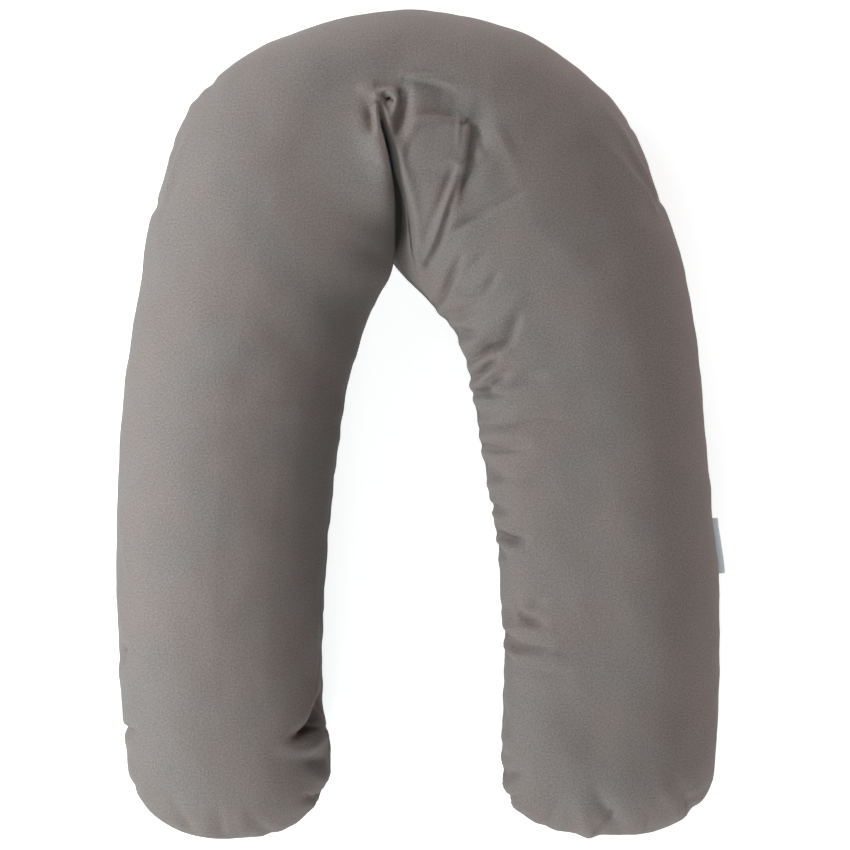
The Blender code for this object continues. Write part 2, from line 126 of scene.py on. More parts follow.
Fold = namedtuple("Fold", "place path rise left right edge")
FOLDS = (
    Fold("lip of the crease's head", ((-38, 258), (-38, 271), (-36, 280), (-32, 282.5), (-28.5, 278),
          (-25.5, 270)),
         (0.2, 0.6, 1.5, 2, 2, 1), 2, 2.5, 1.6),
    Fold("plate left of the knot", ((-48, 297), (-41, 294), (-34, 291)), (1.5, 2.5, 2.5), 4, 5, 2),
    Fold("curl of the knot", ((-36, 291.5), (-30, 293.5), (-24, 293), (-19, 288.5), (-18.5, 281), (-21, 275)),
         (1.5, 3.5, 4, 4, 3, 1.5), 3, 3, 1.8),
    Fold("cloth between the plate and the lip", ((-39, 288.5), (-35, 288), (-31, 286.5)),
         (1.5, 3, 1.5), 2.5, 3, 2),
    Fold("pit inside the curl", ((-27.5, 287), (-24.5, 288), (-21.5, 286)), (-3, -6, -3.5), 1.3, 1.4, 1.8),
    Fold("hollow left of the crease's head", ((-44, 281), (-41, 272), (-39.5, 261)),
         (-2, -6, -4.5), 5, 7, 1.7),
    Fold("hollow right of the knot", ((-13.5, 299), (-13, 290), (-13.5, 280), (-15, 270), (-16.5, 262),
          (-17, 253)),
         (-1.5, -6, -7.5, -7.5, -6, -1.5), 8, 5, 1.9),
    Fold("ridge over the panel", ((-14, 309), (0, 306.5), (12, 305.5), (24, 302.5), (36, 297)),
         (1.2, 3, 3, 2.3, 0.7), 3, 2, 1.6),
    Fold("panel between the ridge and the patch", ((-4, 286), (8, 285), (20, 284), (32, 281), (44, 277)),
         (1.5, -1, -3.2, -3.8, -1.6), 17, 14, 4),
    Fold("upper edge of the patch", ((-3, 269.5), (14, 270), (40, 268.5)), (2, 4.2, 4.2), 1.1, 2.4, 2),
    Fold("foot of the ridge", ((-6, 301), (8, 300.5), (20, 298.5), (32, 294.5)),
         (-0.5, -1, -1, -0.4), 2.5, 7, 1.6),
    Fold("patch on the right lobe", ((2, 252), (14, 251), (26, 249), (37, 247)),
         (0.6, 1.8, 3, 3.4), 18.5, 24, 10),
    Fold("seam of the patch", ((36.5, 274), (36, 262), (35.5, 246)), (0.8, 1.6, 0.8), 1.3, 1.3, 2),
    Fold("hollow left of the patch", ((3, 260), (-4, 250), (-8, 241), (-9, 231), (-4, 221)),
         (-0.2, -0.9, -1.3, -1, -0.2), 5, 4, 1.8),
    Fold("drop right of the patch", ((48.5, 266), (48, 255), (46, 240), (44.5, 228), (41.5, 217),
          (38.5, 206)),
         (-0.5, -3.5, -5, -6, -5.5, -2), 11, 2.5, 1.7),
    Fold("hollow right of that drop", ((53, 268), (52, 255), (51, 244), (48, 232)),
         (-0.5, -2, -1.8, -0.5), 8, 7, 2),
    Fold("peak right of the drop", ((65, 275), (69, 265), (76, 250), (91, 227)),
         (0.4, 2.4, 3.6, 0.9), 3.5, 12, 1.8),
    Fold("slope beyond the peak", ((66, 292), (76, 268), (90, 240)), (1, 2.2, 0.8), 34, 8, 2),
    Fold("rim of the right lobe", ((-28, 270), (-20, 250), (-14, 230), (-8.5, 210), (-3.5, 190), (-2, 170),
          (-0.5, 150), (3.5, 136)),
         (1, 2, 3, 3.5, 4.5, 4.5, 4, 2), 6, 4, 1.8),
    Fold("gap behind the second layer of the crease", ((-13, 212), (-10, 197), (-8, 185), (-6.5, 173),
          (-5, 160), (-2.5, 146), (1, 131)),
         (-2, -5, -7, -7, -6, -5, -1.5), 1.3, 1.3, 2),
    Fold("upper side of the tuck", ((36, 228), (31.5, 212), (26, 197), (20.5, 181), (14, 164), (6, 147)),
         (1.6, 1.6, 1.6, 1.8, 1.9, 1.1), 1.6, 2.5, 1.7),
    Fold("hollow under the tuck", ((27.5, 190), (25, 180), (20, 166), (13.5, 153), (8, 144)),
         (-1.4, -4.1, -6.8, -6.8, -3.4), 3.5, 2.5, 1.5),
    Fold("line under the tuck", ((39, 223), (35, 210), (31, 198), (27, 187)),
         (-1.4, -2, -2.3, -2), 1.7, 1.5, 1.6),
    Fold("hollow over the tuck", ((31.5, 224), (26, 212), (21, 200), (14, 184), (8, 167)),
         (-1.4, -2, -2, -2, -1.4), 3.5, 4, 1.8),
    Fold("end of the tuck", ((29, 231), (35, 231), (41, 228)), (1.4, 3, 2), 1.6, 1.6, 2),
    Fold("second ridge of the tuck", ((40.5, 226), (37, 214), (33.5, 203)), (1.6, 1.9, 0.7), 1.4, 1.4, 1.8),
    Fold("fold over the right lobe", ((28, 170), (36, 176), (45, 182), (53, 185), (66, 191), (82, 200),
          (96, 208)),
         (-2, -4.3, -5, -3.8, -1.8, -1.6, -0.5), 3.5, 4, 1.7),
    Fold("second fold over the right lobe", ((28, 162), (34, 165), (42, 170)),
         (-0.9, -1.8, -0.7), 3, 3.5, 1.8),
    Fold("third fold over the right lobe", ((44, 139), (52, 144), (60, 150)), (-0.9, -2, -0.7), 4, 4, 2),
    Fold("gather 1", ((17, 110), (22, 116), (27, 126), (32, 137), (38, 148)),
         (-5, -6.2, -6.9, -5.6, -1.9), 3.5, 3.5, 1.6),
    Fold("gather 2", ((38, 119), (48, 117), (58, 119.5), (65, 126), (71, 133)),
         (-1.5, -2.5, -3.8, -4.4, -1.2), 3.5, 3.5, 1.6),
    Fold("gather 3", ((28, 97), (36, 98), (44, 102), (56, 106)), (-5, -6, -4, -0.9), 5.5, 6, 1.8),
    Fold("gather 4", ((33, 85), (40, 82.5), (48, 82), (56, 86)), (-5.5, -7, -5, -0.6), 5, 5, 1.8),
    Fold("roll over gather 5", ((48, 70), (60, 83), (76, 95), (90, 108)), (2, 2.9, 2.6, 0.7), 10, 8, 2),
    Fold("gather 5", ((48, 59), (56, 63), (64, 68.5), (74, 71), (81, 77), (86, 86), (90, 97)),
         (-5, -7.5, -8.8, -8.1, -6.2, -3.8, -0.9), 5.5, 4, 1.7),
    Fold("roll under gather 5", ((56, 58), (68, 61), (80, 65)), (0.9, 2, 0.9), 4, 5, 2),
    Fold("gather 6", ((49, 43), (55, 46), (63, 52.5), (71, 59)), (-5, -7.5, -5.6, -1.2), 4.5, 3.5, 1.7),
    Fold("roll under gather 6", ((60, 42), (68, 47), (76, 52)), (2, 2.6, 0.9), 4, 4, 2),
    Fold("gather 7", ((54, 29), (64, 35), (71, 40), (80, 43)), (-3.1, -6.2, -5.6, -1.2), 4, 3.5, 1.7),
    Fold("gather 7, second part", ((77, 33), (88, 36.5), (99, 40), (112, 41)),
         (-2, -3.9, -3.2, -0.7), 5, 4.5, 1.8),
    Fold("gather 8", ((52, 28), (60, 28.5), (67, 25.5), (76, 25)), (-3.8, -5.6, -4.4, -0.9), 3.5, 3, 1.7),
    Fold("roll under gather 8", ((55, 21.5), (66, 21.5), (80, 21.5)), (2, 2.6, 0.9), 3, 3.5, 1.7),
    Fold("gather 9", ((54, 9), (62, 9), (72, 12)), (-3.8, -3.8, -0.6), 6, 6, 2),
    Fold("gather 10", ((58, -4), (70, -2.5), (86, -1.5), (98, 3), (112, 5), (127, 5)),
         (-3.8, -3.1, -2.9, -3.4, -2.1, -0.6), 5, 3.5, 1.7),
    Fold("roll under gather 10", ((66, -11), (84, -11), (104, -11)), (2, 2.9, 0.9), 7, 6, 2.2),
    Fold("gather 11", ((60, -20), (70, -22.5), (80, -23), (96, -22)), (-4.4, -5, -3.8, -1), 4.5, 3, 1.7),
    Fold("gather 12", ((64, -38), (71, -47), (78, -49)), (-3.8, -5, -1.2), 5, 5, 2),
    Fold("roll under gather 12", ((68, -55), (80, -55), (97, -54)), (2, 2.6, 0.9), 4.5, 4.5, 2),
    Fold("gather 13", ((66, -75), (76, -77), (84, -77)), (-3.8, -3.8, -0.6), 4, 4, 2),
    Fold("streak under gather 13", ((68, -79), (73, -84), (78, -90)), (1.3, 2, 0.7), 2, 2.5, 1.6),
    Fold("gather 14", ((70, -99), (78, -102), (87, -104), (97, -104)), (-4.4, -8.1, -7.5, -1.9), 4, 3.5, 1.7),
    Fold("streak under gather 14", ((74, -106), (79, -109), (86, -113), (96, -116)),
         (1.3, 3.2, 2.9, 0.9), 3, 2.5, 1.7),
    Fold("pit under gather 14", ((71, -112), (75, -117), (80, -122)), (-4, -4, -1), 3.5, 4, 1.8),
    Fold("gather 15", ((87, -150), (88, -162), (93, -171), (101, -175.5), (111, -178)),
         (-0.9, -3.1, -6.2, -6.2, -1.9), 3.5, 5, 1.7),
    Fold("hollow left of gather 15", ((80, -166), (83, -172), (84, -178)), (-2, -3, -2), 4, 4, 2),
    Fold("pit over gather 15", ((99, -165), (105, -161), (113, -158)), (-1.5, -3, -1), 4, 4, 2),
    Fold("roll under gather 15", ((82, -184), (98, -184), (118, -184)), (2.6, 2.6, 0.7), 4, 5, 2),
    Fold("gather 16", ((75, -190), (83, -197), (90, -201.5), (101, -202), (118, -200.5)),
         (-4.4, -5.6, -6, -4, -0.8), 5, 4.5, 1.7),
    Fold("ridge under gather 16", ((81, -205), (92, -207.5), (106, -207), (124, -206)),
         (2, 3.2, 3.2, 0.9), 3, 5, 1.6),
    Fold("pit under gather 16", ((77, -206), (81, -208.5), (87, -212)), (-4, -4, -1), 3, 4, 1.8),
    Fold("last gather", ((96, -221), (114, -222), (132, -223)), (-0.5, -1.5, -0.5), 5, 6, 2),
    Fold("faint fold over the left leg", ((-165, 12), (-140, 16), (-107, 18)), (0.3, 1.3, 0.5), 4, 8, 1.8),
    Fold("faint fold over the left leg", ((-183, -91), (-155, -90), (-130, -88)), (0.4, 1.3, 0.4), 4, 8, 1.8),
    Fold("faint fold over the left leg", ((-175, 132), (-160, 137), (-140, 140)), (0.4, 1.2, 0.4), 4, 8, 1.8),
    Fold("faint fold on the left lobe", ((-46, 231), (-38, 230), (-31, 227)),
         (-0.4, -1.2, -0.5), 2.5, 2.5, 1.8),
    Fold("swelling beside the crease", ((-38, 292), (-36, 262), (-31, 245), (-26, 228), (-24, 212)),
         (1, 3, 4, 3.5, 1), 3, 14, 2),
    Fold("tension in the left shoulder", ((-205, 262), (-213, 247), (-217.5, 234), (-221.5, 222), (-226, 210),
          (-229.5, 200)),
         (0.7, 1.4, 2, 2.7, 2.3, 0.9), 3, 2.5, 1.6),
    Fold("second tension in the left shoulder", ((-222, 204), (-227, 192), (-230, 178)),
         (-0.7, -1.8, -0.7), 2, 3, 1.7),
    Fold("hollow in the left shoulder", ((-214, 222), (-219, 210), (-223, 198)), (-0.7, -1.6, -0.7), 4, 4, 2),
    Fold("tension in the right shoulder", ((165, 285), (183, 265), (193, 247), (203, 230), (213, 211),
          (218, 202)),
         (0.6, 1.9, 2.8, 3.5, 2.6, 0.6), 3.5, 4, 1.6),
    Fold("hollow outside that tension", ((198, 247), (207, 232), (215, 216), (220, 205)),
         (-1, -2.5, -3, -1.5), 5, 3, 1.7),
    Fold("second tension in the right shoulder", ((148, 264), (168, 249), (186, 232), (201, 214), (213, 196),
          (218, 186)),
         (0.3, 1.2, 1.9, 2.3, 1.9, 0.3), 2.2, 3, 1.6),
    Fold("third tension in the right shoulder", ((189, 223), (198, 207), (206, 196)),
         (0.3, 0.8, 0.3), 2.5, 2.5, 1.8),
    Fold("pinch in the left shoulder's seam", ((-180, 301), (-191, 313)), (-0.5, -2.5), 6, 6, 2),
    Fold("bulge in the left shoulder's seam", ((-198, 284), (-209, 293)), (0.5, 2.2), 7, 6, 2),
    Fold("pinch above the left tension", ((-214, 250), (-227, 253)), (-0.3, -1.5), 6, 6, 2),
    Fold("pinch below the left tension", ((-226, 200), (-238, 198)), (-0.3, -1.7), 6, 6, 2),
    Fold("pinch in the right shoulder's seam", ((186, 266), (197, 273)), (-0.3, -1.1), 5, 5, 2),
    Fold("pinch below the right tension", ((212, 202), (224, 204)), (-0.3, -1.2), 6, 6, 2),
    Fold("tension in the left leg's outer side", ((-270, -84), (-266, -101), (-262, -125), (-258, -152)),
         (1.2, 1.6, 1.6, 0.3), 4, 2.5, 1.6),
    Fold("second tension there", ((-270, -165), (-267, -185), (-267, -204)), (0.7, 1.2, 0.7), 4, 3, 1.6),
    Fold("pit in the left leg's outer side", ((-266, -201), (-268.5, -209), (-270, -218)),
         (-3, -8.5, -3), 3.5, 4.5, 1.6),
    Fold("tuck in the left leg's outer seam", ((-253, -277), (-260, -277.5), (-268, -278)),
         (-1, -5, -5), 3.5, 3.5, 1.6),
    Fold("bulge below that tuck", ((-252, -286), (-262, -289)), (0.7, 1.5), 6, 5, 2),
    Fold("seam turned up on the left leg", ((-92, -135), (-92.5, -170), (-92.5, -210), (-95, -235),
          (-98.5, -255), (-100, -272)),
         (0.4, 0.8, 1.2, 1.5, 1.8, 1.5), 1.5, 2.5, 1.6),
    Fold("groove along that seam", ((-89.5, -145), (-90, -210), (-92, -233), (-95.5, -253), (-97, -264)),
         (-0.5, -0.8, -1.2, -1.2, -0.5), 1.5, 1.2, 1.8),
    Fold("tuck in the left leg's inner seam", ((-85, -247), (-90, -260), (-96, -272), (-104, -279),
          (-114, -281)),
         (-3.5, -8, -10, -7, -1.5), 6, 5, 1.7),
    Fold("crease inside that tuck", ((-102, -279), (-95, -278), (-88, -279), (-81, -285)),
         (-3, -5, -5, -3), 1.8, 1.8, 1.4),
    Fold("bulge below that tuck", ((-119, -291), (-107, -293), (-96, -291), (-86, -286)),
         (1.5, 3.5, 4, 2), 5, 7, 2),
    Fold("hollow in the left end", ((-104, -301), (-95, -303), (-86, -306)), (-0.7, -2, -2.5), 5, 5, 2),
    Fold("roll in the left end", ((-98, -318), (-90, -322), (-82, -325)), (0.9, 2.6, 2.6), 6, 6, 2),
    Fold("pucker 1 in the left end", ((-106, -336), (-97, -339), (-86, -343)), (-1, -4, -7), 3.5, 4.5, 1.6),
    Fold("crease in pucker 1", ((-101, -333), (-96, -339), (-92, -347)), (-1, -2.5, -1.5), 1.5, 1.5, 1.5),
    Fold("pucker 2 in the left end", ((-152, -350), (-144, -360), (-136, -372)),
         (-0.5, -1.8, -3.2), 6, 5, 1.8),
    Fold("roll 2 in the left end", ((-160, -346), (-158, -357), (-156, -370)), (0.3, 0.7, 0.7), 6, 6, 2),
    Fold("pucker 3 in the left end", ((-178, -342), (-177, -354), (-176, -370)),
         (-0.5, -1.5, -1.8), 4.5, 5, 1.8),
    Fold("roll 3 in the left end", ((-191, -342), (-191, -354), (-191, -367)), (0.3, 0.7, 0.7), 6, 6, 2),
    Fold("pucker 4 in the left end", ((-226, -328), (-216, -344), (-207, -362)),
         (-0.5, -1.8, -2.6), 6, 6, 1.8),
    Fold("pucker 5 in the left end", ((-246, -318), (-254, -325), (-262, -332)), (-0.5, -1.6, -2), 5, 6, 1.8),
    Fold("pucker 1 in the right end", ((94, -312), (86, -316), (79, -320)), (-1.5, -5, -5), 5, 6, 1.8),
    Fold("roll 1 in the right end", ((80, -286), (84, -292), (90, -298)), (2, 2, 0.5), 5, 6, 2),
    Fold("hollow in the right leg's inner side", ((77, -258), (79, -266), (80, -272)),
         (-1.5, -2.5, -1), 5, 5, 2),
    Fold("roll 2 in the right end", ((110, -336), (100, -342), (92, -348)), (1, 2.2, 2), 6, 7, 2),
    Fold("pucker 2 in the right end", ((92, -333), (88, -338), (84, -342)), (-1, -3, -3), 3, 4, 1.8),
    Fold("pucker 3 in the right end", ((126, -338), (122, -350), (117, -366)), (-0.7, -2.2, -2.5), 6, 6, 1.8),
    Fold("lobe left of the valley", ((143, -336), (149, -352), (156, -372)), (0.9, 2.6, 4), 8, 9, 2),
    Fold("valley in the right end", ((158, -328), (166, -341), (173, -352), (181, -366)),
         (-1, -3.5, -4.8, -3), 8, 6, 1.7),
    Fold("crease in the right end", ((174, -348), (169, -359), (161, -367)),
         (-2.5, -4.5, -2.5), 2.2, 2.2, 1.4),
    Fold("seam turned up in the right end", ((171, -361), (180, -363), (190, -368)),
         (1, 2, 0.7), 2, 2.5, 1.6),
    Fold("pucker 4 in the right end", ((207, -346), (206.5, -355), (206, -368)),
         (-1, -3.4, -3.2), 3.5, 4, 1.6),
    Fold("roll 4 in the right end", ((216, -318), (225, -333), (233, -350)), (0.7, 2, 1.5), 7, 7, 2),
    Fold("valley 5 in the right end", ((233, -316), (240, -330), (247, -345), (252, -354)),
         (-1, -3, -4.2, -2.6), 7, 7, 1.8),
    Fold("crease in valley 5", ((249, -334), (245, -345), (240, -354)), (-1.4, -2.8, -1.6), 2, 2, 1.5),
    Fold("pucker 6 in the right end", ((244, -345), (253, -337), (264, -329)), (-1, -1.5, -1), 3.5, 3.5, 1.6),
)

# Small puckers run away from the stitching on both panels. The inner seam is the shorter one, so it has more.
# pitch is from one to the next, depth how far they stand out, and reach how far they run from the seam.
PUCKER_SHIFT = 0.3  # each is moved along the seam by up to this share of the pitch
PUCKER_LEAST = 0.2  # depth of the faintest, as a share
PUCKER_REACHES = (0.7, 0.6)  # least reach, and how much more the longest have, as shares
PUCKER_GAIN = 2.2  # they rise steeply from the stitching
PUCKER_FADE = 2.0  # and fade out
Pucker = namedtuple("Pucker", "place pitch depth reach seed")
PUCKERS = (
    Pucker("outer seam", 17.0, 0.7, 20.0, 3),
    Pucker("inner seam", 13.0, 1.0, 26.0, 8),
)
STITCH_DEPTH = 1.1  # of the narrow line that the stitching pulls into the seam
STITCH_REACH = 1.4
TIP_FADE = 8  # exponent with which the seams' drawing-in dies out towards a leg's tip

# Faint unevenness, the sum of waves in all directions. size is a middling wave's length, depth their common
# height, and waves their number.
LUMP_SIZES = (0.5, 1.8)  # shortest and longest wave, as shares of size
Lumps = namedtuple("Lumps", "place size depth waves seed")
LUMPS = (
    Lumps("stuffing", 70.0, 0.5, 40, 11),
    Lumps("cover", 20.0, 0.07, 60, 5),
)


def along(rows, at):
    """Rows of numbers read at fractional positions, on a Catmull-Rom curve through all of them."""
    rows = np.asarray(rows, float)
    low = np.clip(np.floor(at).astype(int), 0, len(rows) - 2)
    t = (at - low)[:, None]
    before, here = rows[np.maximum(low - 1, 0)], rows[low]
    after, beyond = rows[low + 1], rows[np.minimum(low + 2, len(rows) - 1)]
    bend = 2 * before - 5 * here + 4 * after - beyond
    twist = 3 * here - before - 3 * after + beyond
    return here + 0.5 * ((after - before) * t + bend * t**2 + twist * t**3)


def stations():
    """Position in the table, and the share of the way to a leg's tip, for each section of the mesh."""
    at = []
    for row, section in enumerate(SECTIONS):
        steps = section.steps * FINENESS
        at += [row + step / steps for step in range(steps)]
    at.append(len(SECTIONS) - 1)
    shares = np.sin(np.linspace(0, np.pi / 2, END_STEPS + 1))[1:]
    still = np.zeros(END_STEPS)
    at = np.concatenate([still, at, still + len(SECTIONS) - 1])
    return at, np.concatenate([shares[::-1], np.zeros(len(at) - 2 * END_STEPS), shares])


def ring_angles():
    """Angles round a section: 0 on the outer seam, a quarter turn at the crown, a half on the inner seam."""
    angles = []
    for quarter, faces in enumerate(RING_QUARTERS):
        share = np.arange(faces) / faces
        if quarter % 2:
            share = 1 - (1 - share) ** RING_CROWDING
        else:
            share = share**RING_CROWDING
        angles.append((quarter + share) * np.pi / 2)
    return np.concatenate(angles)


def smooth(value):
    """A soft step from 0 to 1."""
    value = np.clip(value, 0, 1)
    return value * value * (3 - 2 * value)


def body_grid(at, share, angles):
    """The stuffed form without folds, by station and angle, and each station's seam height and section."""
    rows = along([section[1:-1] for section in SECTIONS], at)
    outer, inner = rows[:, 0:2], rows[:, 2:4]
    crown, dip, square, lean = rows[:, 4:5], rows[:, 5:6], rows[:, 6:7], rows[:, 8:9]
    ends = np.where((at < 1)[:, None], LEFT_END, RIGHT_END)
    share = share[:, None]
    middle = (outer + inner) / 2
    middle = middle + (ends[:, :2] - middle) * share
    half = (outer - inner) / 2 * (1 - share ** ends[:, 2:]) ** (1 / ends[:, 2:])
    swell = (1 - share**END_ROUNDNESS) ** (1 / END_ROUNDNESS)
    seam = crown * SEAM_SHARE
    above = np.sin(angles) >= 0
    inward = np.cos(angles) < 0
    corner = np.where(inward, square, OUTER_SQUARENESS)
    corner = np.where(above, corner, UNDERSIDE_SQUARENESS)
    radius = (np.abs(np.cos(angles)) ** corner + np.abs(np.sin(angles)) ** corner) ** (-1 / corner)
    across = np.cos(angles) * radius
    lift = np.sin(angles) * radius
    reach = np.where(above, crown - seam, seam * UNDERSIDE_PRESS)
    grid = np.empty((len(at), len(angles), 3))
    grid[..., :2] = middle[:, None] + half[:, None] * across[..., None]
    grid[..., 2] = seam + reach * swell * lift
    grid[..., 0] += np.where(above, 0, CREASE_FOOT) * lean * smooth(-across) * lift
    edge = smooth(LEDGE_SLOPE * (-across - LEDGE_START))
    grid[..., 0] += rows[:, 9:10] * edge * np.interp(grid[..., 2], *zip(*LEDGE))
    start = rows[:, 10:11]
    slope = np.clip((start - across) / (start + 1), 0, 1) ** DIP_BEND
    grid[..., 2] -= np.where(above, dip * slope * lift * swell, 0)
    return grid, seam, rows


def normals_of(grid):
    """Outward unit normals of a grid of points whose second direction closes on itself."""
    onward = np.gradient(grid, axis=0)
    around = np.roll(grid, -1, axis=1) - np.roll(grid, 1, axis=1)
    normals = np.cross(around, onward)
    length = np.linalg.norm(normals, axis=2, keepdims=True)
    return normals / np.maximum(length, 1e-9)


def fold_rise(fold, x, y):
    """How far a fold lifts the cloth at plan positions x, y."""
    points = np.array(fold.path, float)
    reach = FOLD_LIP_END * FOLD_LIP_REACH * max(fold.left, fold.right)
    (west, south), (east, north) = points.min(0) - reach, points.max(0) + reach
    near = (x > west) & (x < east) & (y > south) & (y < north)
    px, py = x[near], y[near]
    at = np.linspace(0, len(points) - 1, FOLD_PIECES * (len(points) - 1) + 1)
    line = along(points, at)
    best = np.full(px.shape, np.inf)
    side = np.zeros(px.shape)
    place = np.zeros(px.shape)
    for start, a, b in zip(at, line[:-1], line[1:]):
        step = b - a
        share = ((px - a[0]) * step[0] + (py - a[1]) * step[1]) / (step @ step)
        share = np.clip(share, 0, 1)
        dx, dy = px - a[0] - share * step[0], py - a[1] - share * step[1]
        distance = np.hypot(dx, dy)
        nearer = distance < best
        best = np.where(nearer, distance, best)
        side = np.where(nearer, step[0] * dy - step[1] * dx, side)
        place = np.where(nearer, start + share / FOLD_PIECES, place)
    spread = best / np.where(side > 0, fold.left, fold.right)
    lip = FOLD_LIP if fold.edge < FLAT_TOP else 0
    shape = np.exp(-(spread**fold.edge)) - lip * np.exp(-((spread / FOLD_LIP_REACH) ** 2))
    rise = np.zeros(x.shape)
    rise[near] = np.interp(place, range(len(points)), fold.rise) * shape / (1 - lip)
    return rise


def pucker_rise(pucker, seam_line, distance):
    """Uneven small waves along a seam, given each station's point on it and each point's distance from it."""
    rng = np.random.default_rng(pucker.seed)
    run = np.concatenate([[0], np.cumsum(np.linalg.norm(np.diff(seam_line, axis=0), axis=1))])
    count = int(run[-1] / pucker.pitch) + 2
    places = (np.arange(count) + rng.uniform(-PUCKER_SHIFT, PUCKER_SHIFT, count)) * pucker.pitch
    heights = np.where(np.arange(count) % 2, 1, -1) * rng.uniform(PUCKER_LEAST, 1, count)
    fine = np.interp(run, places, heights)
    least, more = PUCKER_REACHES
    reach = pucker.reach * (least + more * np.interp(run, places, rng.uniform(0, 1, count)))[:, None]
    near = distance / reach
    return pucker.depth * fine[:, None] * np.sqrt(near) * PUCKER_GAIN * np.exp(-PUCKER_FADE * near)


def lump_rise(lumps, grid):
    """Faint unevenness, the sum of seeded waves in all directions."""
    rng = np.random.default_rng(lumps.seed)
    total = np.zeros(grid.shape[:2])
    for _ in range(lumps.waves):
        direction = rng.normal(size=3)
        wave = direction / np.linalg.norm(direction) * 2 * np.pi / (lumps.size * rng.uniform(*LUMP_SIZES))
        total += np.sin(grid @ wave + rng.uniform(0, 2 * np.pi))
    return lumps.depth * total / np.sqrt(lumps.waves / 2)


def seam_rise(grid, seam, draw, angles):
    """The drawn-in seam, its narrow line of stitching, and the puckers that run from it."""
    from_seam = np.abs(grid[..., 2] - seam)
    rise = -SEAM_DEPTH * draw * np.exp(-((from_seam / SEAM_REACH) ** 2))
    rise -= STITCH_DEPTH * draw * np.exp(-((from_seam / STITCH_REACH) ** 2))
    for pucker, line, side in zip(PUCKERS, (grid[:, 0], grid[:, HALF_RING]), (1, -1)):
        own_side = smooth(0.5 + 2 * side * np.cos(angles))
        rise += pucker_rise(pucker, line, from_seam) * draw * own_side
    return rise


def cushion_grid():
    """The cushion with all its folds, a point for each station and angle."""
    at, share = stations()
    angles = ring_angles()
    grid, seam, rows = body_grid(at, share, angles)
    inward = smooth(-2 * np.cos(angles))
    lean = rows[:, 8:9] * inward
    level = seam + CREASE_WALL * lean
    fade = 1 - smooth((level - grid[..., 2]) / FOLD_FADE)
    draw = (1 - share[:, None] ** TIP_FADE) * np.where(np.cos(angles) < 0, rows[:, 7:8] / SEAM_DEPTH, 1)
    rise = sum(fold_rise(fold, grid[..., 0], grid[..., 1]) for fold in FOLDS) * fade
    rise += seam_rise(grid, seam, draw, angles)
    rise += sum(lump_rise(lumps, grid) for lumps in LUMPS) * (1 - lean)
    grid = grid + (normals_of(grid) * (1 - lean[..., None]) + UP * lean[..., None]) * rise[..., None]
    grid[..., 2] = np.maximum(grid[..., 2], 0)
    return grid


CLOTH_MAP = "cloth"  # flat positions on the cloth in metres, read by its material


def add_mesh(name, bm, material):
    """A smooth-shaded object of this material, in the scene."""
    mesh = bpy.data.meshes.new(name)
    bm.to_mesh(mesh)
    bm.free()
    mesh.materials.append(material)
    mesh.shade_smooth()
    made = bpy.data.objects.new(name, mesh)
    bpy.context.scene.collection.objects.link(made)
    return made


def flat_cloth(grid):
    """Where each point lies on its panel when that is spread out flat: upper panel, then underside."""
    closed = np.concatenate([grid, grid[:, :1]], 1)
    steps = np.linalg.norm(np.diff(closed, axis=1), axis=2)
    run = np.concatenate([np.zeros((len(grid), 1)), np.cumsum(steps, axis=1)], 1)
    middle = (grid[:, 0, :2] + grid[:, HALF_RING, :2]) / 2
    outward = grid[:, 0, :2] - grid[:, HALF_RING, :2]
    outward = outward / np.linalg.norm(outward, axis=1, keepdims=True).clip(1e-6)
    crown, bottom = RING_QUARTERS[0], HALF_RING + RING_QUARTERS[2]
    upper = middle[:, None] + outward[:, None] * (run[:, crown : crown + 1] - run)[..., None]
    under = middle[:, None] + outward[:, None] * (run - run[:, bottom : bottom + 1])[..., None]
    return upper * MM, under * MM


def make_cushion(grid, material):
    """A loft through the sections, closed at each leg's tip by a fan of triangles."""
    bm = bmesh.new()
    cloth = bm.loops.layers.uv.new(CLOTH_MAP)
    upper, under = flat_cloth(grid)
    rings = grid.shape[1]
    loops = [[bm.verts.new((point - CENTRE) * MM) for point in section] for section in grid[1:-1]]
    for row, (a, b) in enumerate(zip(loops, loops[1:]), start=1):
        for k in range(rings):
            after = (k + 1) % rings
            face = bm.faces.new((a[k], b[k], b[after], a[after]))
            flat = upper if k < HALF_RING else under
            corners = flat[row, k], flat[row + 1, k], flat[row + 1, k + 1], flat[row, k + 1]
            for corner, spot in zip(face.loops, corners):
                corner[cloth].uv = spot
    for loop, tip, turn in ((loops[0], grid[0, 0], 1), (loops[-1], grid[-1, 0], -1)):
        point = bm.verts.new((tip - CENTRE) * MM)
        for k in range(rings):
            bm.faces.new((point, loop[k], loop[(k + 1) % rings])[::turn])
    bmesh.ops.recalc_face_normals(bm, faces=bm.faces)
    return add_mesh("cushion", bm, material)


# ---- the label ---------------------------------------------------------------------------------------------
LABEL_LENGTH = 51.0  # along the seam
LABEL_MIDDLE_Y = -112.0
LABEL_SEAT = 0.5  # from the seam's stitching to the label's root
# The middle of the folded ribbon seen along the seam, from its root to its fold: out, and up.
LABEL_PROFILE = ((0.0, 0.0), (3.0, 0.0), (6.0, -1.2), (8.4, -3.6), (10.0, -7.0))
RIBBON = 0.42  # thickness of one layer
LAYER_GAP = 0.16  # between the two layers
LABEL_STEPS = 30  # faces along the seam
LAYER_POINTS = 33  # along one side of a layer
FOLD_POINTS = 9  # round the fold, with its two ends


